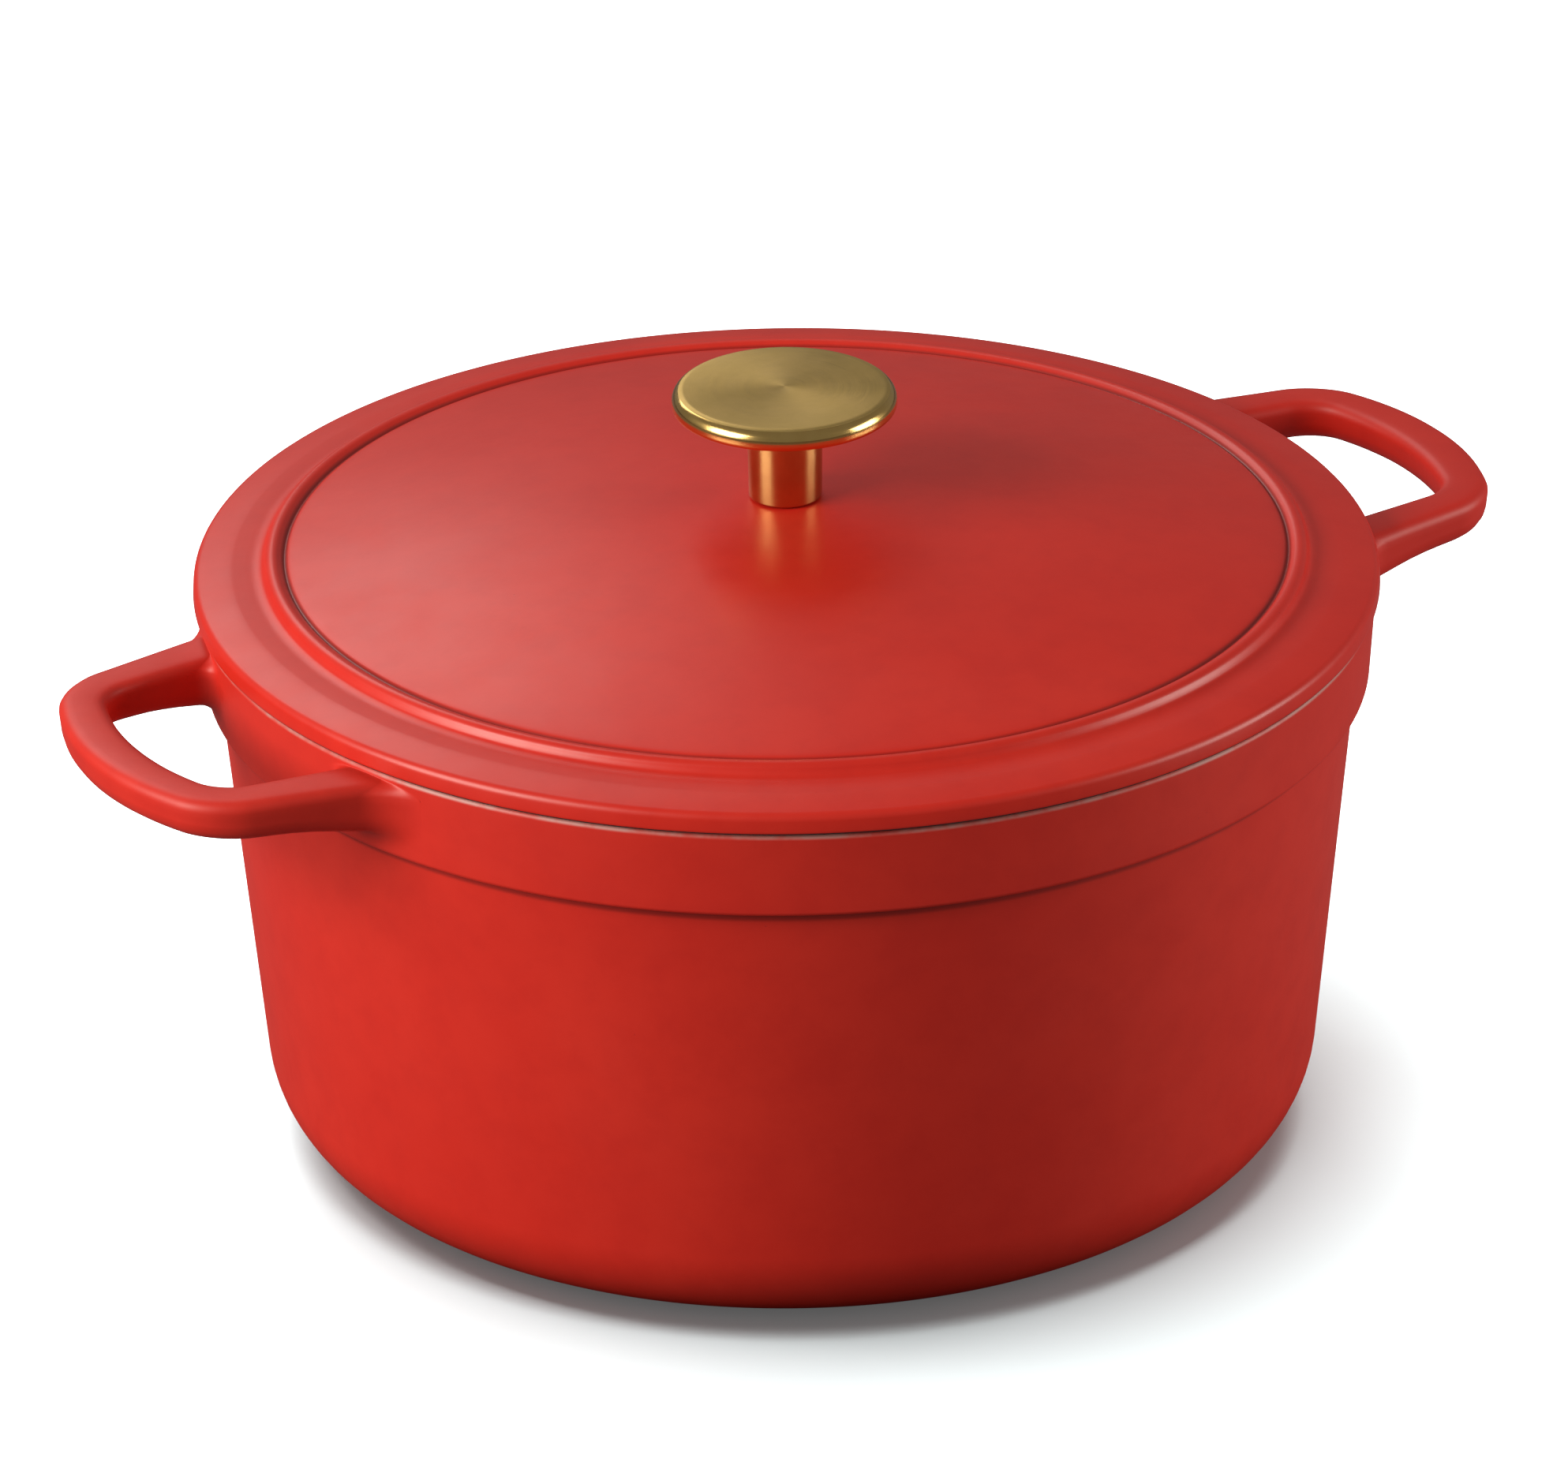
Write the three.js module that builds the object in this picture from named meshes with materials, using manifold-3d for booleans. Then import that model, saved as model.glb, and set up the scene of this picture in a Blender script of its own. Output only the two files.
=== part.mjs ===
// Enamelled cast-iron dutch oven: a round pot cast in one piece with its two loop handles, and a
// domed lid that carries a metal knob on a screw.
//
// Millimetres, +Z up. The origin is the centre of the base, and the handles lie along X.

import * as THREE from "three";
import { mergeVertices } from "three/addons/utils/BufferGeometryUtils.js";
import Module from "manifold-3d";

const wasm = await Module();
wasm.setup();

// Driving dimensions -----------------------------------------------------------------------------

const GAP = 0.3; // left between two pieces that touch

const POT = {
  height: 127.5, // base to rim
  baseRadius: 114.6, // where the straight wall would meet the base
  wallTopRadius: 124.9, // outside of the straight wall, at the band
  baseFillet: 23,
  wall: 4.4,
  floor: 5.5,
  innerFillet: 17,
  footRadius: 88, // inside of the flat ring that the pot stands on
  footRecess: 0.6,
};
const BAND = {
  bottom: 107.8, // underside of the thicker band below the rim
  lowerRadius: 127.8,
  upperRadius: 129,
  edge: 1.2,
};
const HANDLE = {
  top: 126.2,
  thickness: 10.2,
  reach: 169.9, // outermost point of the grip, from the axis
  gripWidth: 11.6,
  bow: 70, // radius of the grip's curve in plan
  bowShares: [0.62, 0.25], // places along the grip's curve, as shares of its half-length
  edge: 3, // rounding of the long edges
  outer: [[130, 42.8], [158.2, 37.2]], // outside of the arm: at the wall, and at the corner
  inner: [[130, 30.3], [152, 27.8]], // inside of the arm: at the wall, and at the corner
  outerCorner: 9,
  innerCorner: 5,
  flare: [[112, 9.6], [125, 4.2]], // how far the arm widens, inside the wall and at its face
  flareEnd: 3, // distance out along the arm at which it stops widening
  softBend: 3.5, // rounding of the bends in the flare
  bowBend: 2, // rounding of the bends along the grip
};
const LID = {
  radius: 130,
  seat: POT.height + GAP,
  rimTop: 134,
  rimRound: [3, 2.6], // half-axes of the rim's rounded outer edge, across and up
  lowerEdge: 0.8, // rounding of the rim's lower edge
  crown: 148.2, // top of the dome, under the knob
  domeRadius: 512,
  domeRings: [30, 50, 70, 90, 108.4], // radii where the dome's curve is stepped
  groove: [109.9, 136],
  bead: [[111.1, 136.7], [112.3, 137], [113.8, 136.4]], // rounded top of the raised ring
  beadFoot: [115.7, 134.5],
  thickness: 4.2,
  underBead: [111.3, 132.2], // where the underside turns down towards the skirt
  undersideRings: [104.4, 85, 60, 35, 12.5],
  bossRadius: 11,
  bossUnderside: 142.9,
  holeRadius: 3.6,
};
const SKIRT = {
  outer: 121, // the ring under the lid that centres it in the pot
  inner: 117,
  depth: 5.3,
  edge: 0.6,
};
const NUBS = {
  rings: [[38, 6], [66, 12], [94, 18]], // radius of each ring, and how many nubs are on it
  baseRadius: 4,
  tipRadius: 1.9,
  height: 3,
  sunk: 1, // how far a nub runs up into the lid
};
const KNOB = {
  capRadius: 24.7,
  capTop: 174.1,
  capUnderside: 168.2,
  capNeckRadius: 10.5, // inside this the underside is level
  // The rounded edge from the underside to the top: distance inside capRadius, and height.
  capEdge: [
    [2.3, 168.8],
    [1, 169.3],
    [0.2, 170.3],
    [0, 171.3],
    [0.2, 172.2],
    [0.8, 173],
    [2.1, 173.55],
  ],
  capCrown: [13.5, 173.95], // a point on the slightly domed top
  spigotRadius: 4.6,
  spigotLength: 5,
  stemFootRadius: 8,
  stemFootEdge: 0.4,
  stemHeadRadius: 8.3,
  boreRadius: 3.4,
};
const GASKET = { outer: 5.8, inner: 3.5, thickness: 0.8 };
const SCREW = {
  radius: 3,
  tip: 161,
  tipEdge: 1,
  head: [[4.4, 0], [5.5, 0.8], [6, 2.2], [6, 4.2]], // radius, and height above the head's end
  socket: 2.3,
  socketDepth: 2.4,
};
const FLAT_WASHER = { outer: 8.5, inner: 3.4, thickness: 1.2 };
const LOCK_WASHER = { outer: 5.6, inner: 3.4, thickness: 1.4, splitDeg: 14 };

const BODY_SEGMENTS = 56;
const SMALL_SEGMENTS = 32;

// Profile helpers: a profile is a list of [radius, height] -----------------------------------------

const radians = (degrees) => (degrees * Math.PI) / 180;

function ellipseArc([centreR, centreZ], [halfWidth, halfHeight], [fromDeg, toDeg], steps) {
  const points = [];
  for (let i = 0; i <= steps; i += 1) {
    const angle = radians(fromDeg + ((toDeg - fromDeg) * i) / steps);
    points.push([centreR + halfWidth * Math.cos(angle), centreZ + halfHeight * Math.sin(angle)]);
  }
  return points;
}

function arc(centreR, centreZ, radius, fromDeg, toDeg, steps) {
  return ellipseArc([centreR, centreZ], [radius, radius], [fromDeg, toDeg], steps);
}

const wallTaper = Math.atan((POT.wallTopRadius - POT.baseRadius) / BAND.bottom);

function wallRadius(z) {
  return POT.baseRadius + z * Math.tan(wallTaper);
}

// The rounded corner between a level floor and the tapered wall.
function cornerArc(wallAtFloor, floorZ, fillet, steps) {
  const centreR = wallAtFloor + fillet * Math.tan(wallTaper) - fillet / Math.cos(wallTaper);
  const wallDeg = -THREE.MathUtils.radToDeg(wallTaper);
  return arc(centreR, floorZ + fillet, fillet, -90, wallDeg, steps);
}

function domeHeight(r) {
  return LID.crown - (LID.domeRadius - Math.sqrt(LID.domeRadius ** 2 - r ** 2));
}

// Solids -------------------------------------------------------------------------------------------

function positionsOnly(geometry) {
  geometry.deleteAttribute("normal");
  geometry.deleteAttribute("uv");
  return mergeVertices(geometry, 1e-4);
}

function withoutSlivers(indices) {
  const kept = [];
  for (let i = 0; i < indices.length; i += 3) {
    const [a, b, c] = [indices[i], indices[i + 1], indices[i + 2]];
    if (a !== b && b !== c && c !== a) kept.push(a, b, c);
  }
  return kept;
}

function toSolid(geometry) {
  const merged = positionsOnly(geometry);
  const mesh = new wasm.Mesh({
    numProp: 3,
    vertProperties: Float32Array.from(merged.attributes.position.array),
    triVerts: Uint32Array.from(withoutSlivers(merged.index.array)),
  });
  return new wasm.Manifold(mesh);
}

function toGeometry(solid) {
  const mesh = solid.getMesh();
  const geometry = new THREE.BufferGeometry();
  geometry.setAttribute("position", new THREE.BufferAttribute(mesh.vertProperties, 3));
  geometry.setIndex(new THREE.BufferAttribute(mesh.triVerts, 1));
  geometry.computeVertexNormals();
  return geometry;
}

// Turns a profile that runs outside-up, from the axis back to the axis, about Z.
function revolve(profile, segments) {
  const points = profile.map(([r, z]) => new THREE.Vector2(r, z));
  return new THREE.LatheGeometry(points, segments).rotateX(Math.PI / 2);
}

// The same for a ring, whose profile never touches the axis.
function revolveRing(profile, segments) {
  return revolve([...profile, profile[0]], segments);
}

function extrudeUp(shape, bottom, height, options = {}) {
  const geometry = new THREE.ExtrudeGeometry(shape, { depth: height, bevelEnabled: false, ...options });
  return geometry.translate(0, 0, bottom);
}

// Pot ----------------------------------------------------------------------------------------------

function potOutsideProfile() {
  const wallAtBand = wallRadius(BAND.bottom - BAND.edge);
  const rimZ = POT.height - BAND.edge;
  return [
    [0, POT.footRecess],
    [POT.footRadius, POT.footRecess],
    [POT.footRadius + 1, 0],
    ...cornerArc(POT.baseRadius, 0, POT.baseFillet, 8),
    ...arc(wallAtBand + BAND.edge, BAND.bottom - BAND.edge, BAND.edge, 180, 90, 2),
    ...arc(BAND.lowerRadius - BAND.edge, BAND.bottom + BAND.edge, BAND.edge, -90, 0, 3),
    ...arc(BAND.upperRadius - BAND.edge, rimZ, BAND.edge, 0, 90, 3),
    [0, POT.height],
  ];
}

function potCavityProfile() {
  const innerOffset = POT.wall / Math.cos(wallTaper);
  const wallAtFloor = wallRadius(POT.floor) - innerOffset;
  const aboveRim = POT.height + 1;
  return [
    [0, POT.floor],
    ...cornerArc(wallAtFloor, POT.floor, POT.innerFillet, 7),
    [wallRadius(aboveRim) - innerOffset, aboveRim],
    [0, aboveRim],
  ];
}

// A point on a bowed edge of the grip, at the offset y across the handle.
function gripX(middleX, y) {
  return middleX - HANDLE.bow + Math.sqrt(HANDLE.bow ** 2 - y ** 2);
}

// Draws a path that turns each listed corner on a curve that starts `round` before it.
function drawRounded(shape, corners) {
  const points = corners.map(([x, y]) => new THREE.Vector2(x, y));
  shape.moveTo(points[0].x, points[0].y);
  for (let i = 1; i < points.length - 1; i += 1) {
    const round = corners[i][2] ?? 0;
    const toward = (other) => points[i].clone().add(other.clone().sub(points[i]).setLength(round));
    const start = toward(points[i - 1]);
    const end = toward(points[i + 1]);
    shape.lineTo(start.x, start.y);
    if (round > 0) shape.quadraticCurveTo(points[i].x, points[i].y, end.x, end.y);
  }
  shape.lineTo(points.at(-1).x, points.at(-1).y);
}

// Half of one edge of the handle's plan, from inside the wall nearly to the middle of the grip.
// `outward` is 1 for the outer edge and -1 for the inner one, whose flare goes the other way.
function handleEdge([wallEnd, corner], middleX, cornerRound, outward) {
  const onGrip = (y) => [gripX(middleX, y), y];
  const [[deepX, deepFlare], [faceX, faceFlare]] = HANDLE.flare;
  const flareEnd = new THREE.Vector2(corner[0] - wallEnd[0], corner[1] - wallEnd[1]);
  flareEnd.setLength(HANDLE.flareEnd).add(new THREE.Vector2(...wallEnd));
  return [
    [deepX, wallEnd[1] + outward * deepFlare],
    [faceX, wallEnd[1] + outward * faceFlare, HANDLE.softBend],
    [flareEnd.x, flareEnd.y, HANDLE.softBend],
    [...onGrip(corner[1]), cornerRound],
    ...HANDLE.bowShares.map((share) => [...onGrip(corner[1] * share), HANDLE.bowBend]),
  ];
}

function handlePlan() {
  const mirror = ([x, y, round]) => [x, -y, round];
  const gripInside = HANDLE.reach - HANDLE.gripWidth;
  const outer = handleEdge(HANDLE.outer, HANDLE.reach, HANDLE.outerCorner, 1);
  const inner = handleEdge(HANDLE.inner, gripInside, HANDLE.innerCorner, -1);
  const shape = new THREE.Shape();
  drawRounded(shape, [
    ...outer.map(mirror),
    [HANDLE.reach, 0],
    ...outer.toReversed(),
    ...inner,
    [gripInside, 0],
    ...inner.map(mirror).toReversed(),
  ]);
  shape.closePath();
  return shape;
}

function handleSolid() {
  const handle = extrudeUp(
    handlePlan(),
    HANDLE.top - HANDLE.thickness + HANDLE.edge,
    HANDLE.thickness - 2 * HANDLE.edge,
    {
      curveSegments: 3,
      bevelEnabled: true,
      bevelThickness: HANDLE.edge,
      bevelSize: HANDLE.edge,
      bevelOffset: -HANDLE.edge,
      bevelSegments: 2,
    },
  );
  return toSolid(handle);
}

function potBody() {
  const handle = handleSolid();
  return toGeometry(
    toSolid(revolve(potOutsideProfile(), BODY_SEGMENTS))
      .add(handle)
      .add(handle.rotate([0, 0, 180]))
      .subtract(toSolid(revolve(potCavityProfile(), BODY_SEGMENTS))),
  );
}

// Lid ----------------------------------------------------------------------------------------------

function lidTopProfile() {
  const rimCentre = [LID.radius - LID.rimRound[0], LID.rimTop - LID.rimRound[1]];
  return [
    [LID.holeRadius, LID.crown],
    [KNOB.stemHeadRadius, LID.crown],
    ...LID.domeRings.map((r) => [r, domeHeight(r)]),
    LID.groove,
    ...LID.bead,
    LID.beadFoot,
    ...ellipseArc(rimCentre, LID.rimRound, [90, 0], 5),
    ...arc(LID.radius - LID.lowerEdge, LID.seat + LID.lowerEdge, LID.lowerEdge, 0, -90, 2),
  ];
}

function lidUndersideProfile() {
  const bottom = LID.seat - SKIRT.depth;
  return [
    [SKIRT.outer, LID.seat],
    [SKIRT.outer, bottom + SKIRT.edge],
    [SKIRT.outer - SKIRT.edge, bottom],
    [SKIRT.inner + SKIRT.edge, bottom],
    [SKIRT.inner, bottom + SKIRT.edge],
    [SKIRT.inner, LID.seat + SKIRT.edge],
    LID.underBead,
    ...LID.undersideRings.map((r) => [r, domeHeight(r) - LID.thickness]),
    [LID.bossRadius, LID.bossUnderside],
    [LID.holeRadius, LID.bossUnderside],
  ];
}

function nubSolid(ringRadius, angle) {
  const length = NUBS.height + NUBS.sunk;
  const root = domeHeight(ringRadius) - LID.thickness + NUBS.sunk;
  const nub = new THREE.CylinderGeometry(NUBS.baseRadius, NUBS.tipRadius, length, 8);
  nub.rotateX(Math.PI / 2);
  nub.translate(ringRadius * Math.cos(angle), ringRadius * Math.sin(angle), root - length / 2);
  return toSolid(nub);
}

function lidBody() {
  let lid = toSolid(revolveRing([...lidTopProfile(), ...lidUndersideProfile()].reverse(), BODY_SEGMENTS));
  for (const [ringRadius, count] of NUBS.rings) {
    for (let i = 0; i < count; i += 1) {
      lid = lid.add(nubSolid(ringRadius, ((i + 0.5) * 2 * Math.PI) / count));
    }
  }
  return toGeometry(lid);
}

// Knob and its fixing ------------------------------------------------------------------------------

const stemBottom = LID.crown + GAP;
const gasketTop = stemBottom + GASKET.thickness;
const stemTop = KNOB.capUnderside - GAP;
const spigotTip = KNOB.capUnderside - KNOB.spigotLength;
const flatWasherBottom = LID.bossUnderside - GAP - FLAT_WASHER.thickness;
const lockWasherBottom = flatWasherBottom - GAP - LOCK_WASHER.thickness;
const screwHeadTop = lockWasherBottom - GAP;
const screwHeadBottom = screwHeadTop - SCREW.head.at(-1)[1];

function knobCap() {
  return revolve(
    [
      [0, spigotTip],
      [KNOB.spigotRadius, spigotTip],
      [KNOB.spigotRadius, KNOB.capUnderside],
      [KNOB.capNeckRadius, KNOB.capUnderside],
      ...KNOB.capEdge.map(([inset, z]) => [KNOB.capRadius - inset, z]),
      KNOB.capCrown,
      [0, KNOB.capTop],
    ],
    BODY_SEGMENTS,
  );
}

function knobStem() {
  return revolveRing(
    [
      [KNOB.boreRadius, gasketTop + GAP],
      [GASKET.outer + GAP, gasketTop + GAP],
      [GASKET.outer + GAP, stemBottom],
      [KNOB.stemFootRadius - KNOB.stemFootEdge, stemBottom],
      [KNOB.stemFootRadius, stemBottom + KNOB.stemFootEdge],
      [KNOB.stemHeadRadius, stemTop],
      [KNOB.spigotRadius + GAP, stemTop],
      [KNOB.spigotRadius + GAP, spigotTip - GAP],
      [KNOB.boreRadius, spigotTip - GAP],
    ],
    SMALL_SEGMENTS,
  );
}

function flatRing({ inner, outer, thickness }, bottom) {
  return revolveRing(
    [
      [inner, bottom],
      [outer, bottom],
      [outer, bottom + thickness],
      [inner, bottom + thickness],
    ],
    SMALL_SEGMENTS,
  );
}

function knobScrew() {
  const screw = revolve(
    [
      [0, screwHeadBottom],
      ...SCREW.head.map(([r, rise]) => [r, screwHeadBottom + rise]),
      [SCREW.radius, screwHeadTop],
      [SCREW.radius, SCREW.tip - SCREW.tipEdge],
      [SCREW.radius - SCREW.tipEdge, SCREW.tip],
      [0, SCREW.tip],
    ],
    SMALL_SEGMENTS,
  );
  const socket = new THREE.CylinderGeometry(SCREW.socket, SCREW.socket, 2 * SCREW.socketDepth, 6);
  socket.rotateX(Math.PI / 2).translate(0, 0, screwHeadBottom);
  return toGeometry(toSolid(screw).subtract(toSolid(socket)));
}

// A ring cut through at one place, so that it springs.
function lockWasher() {
  const { inner, outer, thickness, splitDeg } = LOCK_WASHER;
  const from = radians(splitDeg / 2);
  const to = 2 * Math.PI - from;
  const shape = new THREE.Shape();
  shape.absarc(0, 0, outer, from, to, false);
  shape.absarc(0, 0, inner, to, from, true);
  shape.closePath();
  return extrudeUp(shape, lockWasherBottom, thickness, { curveSegments: 20 });
}

// Assembly -----------------------------------------------------------------------------------------

const ENAMEL = { color: 0xc0332a, roughness: 0.35, metalness: 0 };
const GOLD = { color: 0xc9a45c, roughness: 0.3, metalness: 1 };
const STEEL = { color: 0xb8babd, roughness: 0.35, metalness: 1 };
const SILICONE = { color: 0x2a2a2a, roughness: 0.7, metalness: 0 };

function piece(name, geometry, finish) {
  const mesh = new THREE.Mesh(geometry, new THREE.MeshStandardMaterial(finish));
  mesh.name = name;
  return mesh;
}

const group = new THREE.Group();
group.add(piece("pot_body", potBody(), ENAMEL));

const lidAssembly = new THREE.Group();
lidAssembly.add(
  piece("lid", lidBody(), ENAMEL),
  piece("knob_cap", knobCap(), GOLD),
  piece("knob_stem", knobStem(), GOLD),
  piece("knob_gasket", flatRing(GASKET, stemBottom), SILICONE),
  piece("knob_screw", knobScrew(), STEEL),
  piece("flat_washer", flatRing(FLAT_WASHER, flatWasherBottom), STEEL),
  piece("lock_washer", lockWasher(), STEEL),
);
group.add(lidAssembly);

export default group;
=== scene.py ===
"""Enamelled cast-iron dutch oven: the detailed pieces, their materials, the stage, the lights and the camera.

Shapes are worked out in millimetres in the CAD frame and written to the meshes in metres.
"""

import math

import bmesh
import bpy
from mathutils import Matrix, Vector


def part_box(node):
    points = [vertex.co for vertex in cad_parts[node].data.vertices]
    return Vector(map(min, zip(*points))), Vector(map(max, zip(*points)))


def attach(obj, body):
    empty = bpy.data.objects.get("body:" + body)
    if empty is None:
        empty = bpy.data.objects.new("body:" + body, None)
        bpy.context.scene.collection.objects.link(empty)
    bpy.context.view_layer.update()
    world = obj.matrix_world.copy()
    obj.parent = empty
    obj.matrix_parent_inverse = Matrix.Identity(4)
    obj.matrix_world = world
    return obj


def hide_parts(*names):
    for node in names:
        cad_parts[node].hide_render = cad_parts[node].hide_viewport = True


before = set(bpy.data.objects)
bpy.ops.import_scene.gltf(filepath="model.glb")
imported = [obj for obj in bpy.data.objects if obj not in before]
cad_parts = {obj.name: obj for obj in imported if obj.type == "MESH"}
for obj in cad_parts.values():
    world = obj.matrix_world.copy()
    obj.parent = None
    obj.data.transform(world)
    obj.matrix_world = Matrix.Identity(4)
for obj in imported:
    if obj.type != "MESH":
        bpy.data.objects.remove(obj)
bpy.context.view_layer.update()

MM = 0.001
TINY = 1e-6
FLAT = 0.05  # faces lower than this, in millimetres, lie on the ground


def cad_size(node):
    """Lowest and highest corner of a CAD node in millimetres."""
    low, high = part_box(node)
    return low / MM, high / MM


# Dimensions in millimetres -------------------------------------------------------------------------

_, POT_HIGH = cad_size("pot_body")
LID_LOW, LID_HIGH = cad_size("lid")

WALL_BASE_RADIUS = 114.6  # where the straight wall would meet the base
WALL_TOP_RADIUS = 124.9
BASE_FILLET = 23.0
INNER_FILLET = 17.0
BAND_BOTTOM = 107.8
BAND_LOWER_RADIUS = 127.7
RIM_RADIUS = 129.05
RIM_HEIGHT = POT_HIGH.z
WALL = 4.4
FLOOR = 5.5
BARE_DEPTH = 0.7  # depth of the bare finish on the rim
BARE_INSET = 1.3  # distance of the bare finish from the rim's outside
WALL_SLOPE = (WALL_TOP_RADIUS - WALL_BASE_RADIUS) / BAND_BOTTOM
FOOT_RADIUS = 88.0  # inside of the ring that the pot stands on
FOOT_RECESS = 0.6
FOOT_WEAR = (88.5, 95.0)  # radii between which the ring is scuffed
FLOOR_SPLIT = 1.0  # how far under the inside's floor a face starts to count as outside
FILLET_SPLIT = 1.0  # how far inside the base's fillet a face still counts as outside

COLUMNS = 256
NUB_COLUMNS = 20
BAND_ROWS = 8
ARM_COLUMNS = (7, 17)  # the wall's columns, from the handle's middle, that an arm grows out between
PATCH_STEPS = 4
ROOT_STEPS = 8
CORNER_STEPS = 12
GRIP_STEPS = 11

HANDLE_TOP = 126.2
GRIP_THICKNESS = 9.5
ARM_TAPER = ((158.0, 28.0, 0.8, 1), (144.0, 16.0, 1.7, 2))  # each one's end, length, depth and power
HANDLE_REACH = POT_HIGH.x
HANDLE_GRIP_WIDTH = 11.6
HANDLE_BOW = 70.0
HANDLE_TOP_EDGE = 2.4
HANDLE_LOWER_EDGE = 3.8
HANDLE_CROWN = 0.45  # how far the top falls from its middle to its edges
HANDLE_DRAFT = 0.9  # how much farther in each side is at the bottom than at the top
HANDLE_OUTER = ((130.0, 42.8), 37.2, 9.0)  # a point at the wall, the corner's y, its rounding
HANDLE_INNER = ((130.0, 30.3), 27.8, 6.0)
ARM_STARTS = (3.2, 7.0)  # distances from the wall of the arm's first two sections
BEND_PULL = 0.62  # how strongly a corner's curve follows its two sides
FIRST_ROOT_X = 128.0  # where the search for the arm's root starts
ROOT_FILLET = {"outer": 7.0, "inner": 5.0, "below": 4.6, "above": 0.15}

DOME_RADIUS = 512.0
CROWN = LID_HIGH.z
LID_RADIUS = LID_HIGH.x
LID_SEAT = POT_HIGH.z + 0.3
LID_RIM_TOP = 134.0
LID_RIM_EDGE = 132.5  # height of the sloping rim's outer edge
LID_THICKNESS = 4.2
LID_SPLIT = 2.2  # how far under the dome a face starts to count as inside
GROOVE_RADIUS = 109.8
RIM_INSIDE = 121.3  # inside of the bare ring that meets the pot
RIM_AND_GAP_SHADE_LAYER = 0.6  # how far above the seat the bare ring goes; it also covers the lid's lower outside edge, a dark painted shade for the gap line
SEAT_LAYER = 0.25  # how far above the seat everything but the bare ring is cream
SKIRT_OUTER = 121.0
SKIRT_INNER = 117.0
UNDER_RING = (111.3, 132.2)  # where the underside turns down towards the skirt
BOSS_RADIUS = 10.8
BOSS_UNDERSIDE = CROWN - 5.3
LID_HOLE_RADIUS = 3.6
NUB_RINGS = ((38, 6), (66, 12), (94, 18))  # radius of each ring, and how many nubs are on it
NUB_ROOT = ((0, 1.0), (5.2, 1.0), (5.2, 0.15), (4.3, -0.35))  # radius, and height above the underside
NUB_TIP = ((3.5, -1.1), (2.9, -2.0), (2.2, -2.7), (1.2, -3.0), (0, -3.05))

CAP_UNDERSIDE = 168.2
CAP_NECK_RADIUS = 10.5
CAP_FACE = (1.2, 1.6)  # how deep below its top, and how far inside its edge, the satin face goes
SPIGOT_RADIUS = 4.6
SPIGOT_HOLE = (4.9, CAP_UNDERSIDE - 5.3)  # radius and floor of the stem's hole for the spigot
STEM_FOOT_RADIUS = 8.0
STEM_BORE_RADIUS = 3.4
GASKET_RECESS = (6.1, 1.1)  # radius and depth, in the stem's foot
SCREW_RADIUS = 3.0
SCREW_HEAD_RADIUS = 6.0
SCREW_HEAD_HEIGHT = 4.2
SCREW_HEAD_CROWN = ((4.4, 0, 0.5), (5.5, 0.8, 0.6), (SCREW_HEAD_RADIUS, 2.2, 0.8))  # radius, height, rounding
SOCKET_RADIUS = 2.3
SOCKET_DEPTH = 2.4
WASHER_HOLE_RADIUS = 3.4
GASKET_HOLE_RADIUS = 3.5


def wall_radius(z):
    return WALL_BASE_RADIUS + z * WALL_SLOPE


def inner_radius(z):
    return wall_radius(z) - WALL / math.cos(math.atan(WALL_SLOPE))


def dome_height(r):
    return CROWN - (DOME_RADIUS - math.sqrt(DOME_RADIUS**2 - r**2))


# Materials -----------------------------------------------------------------------------------------


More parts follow.
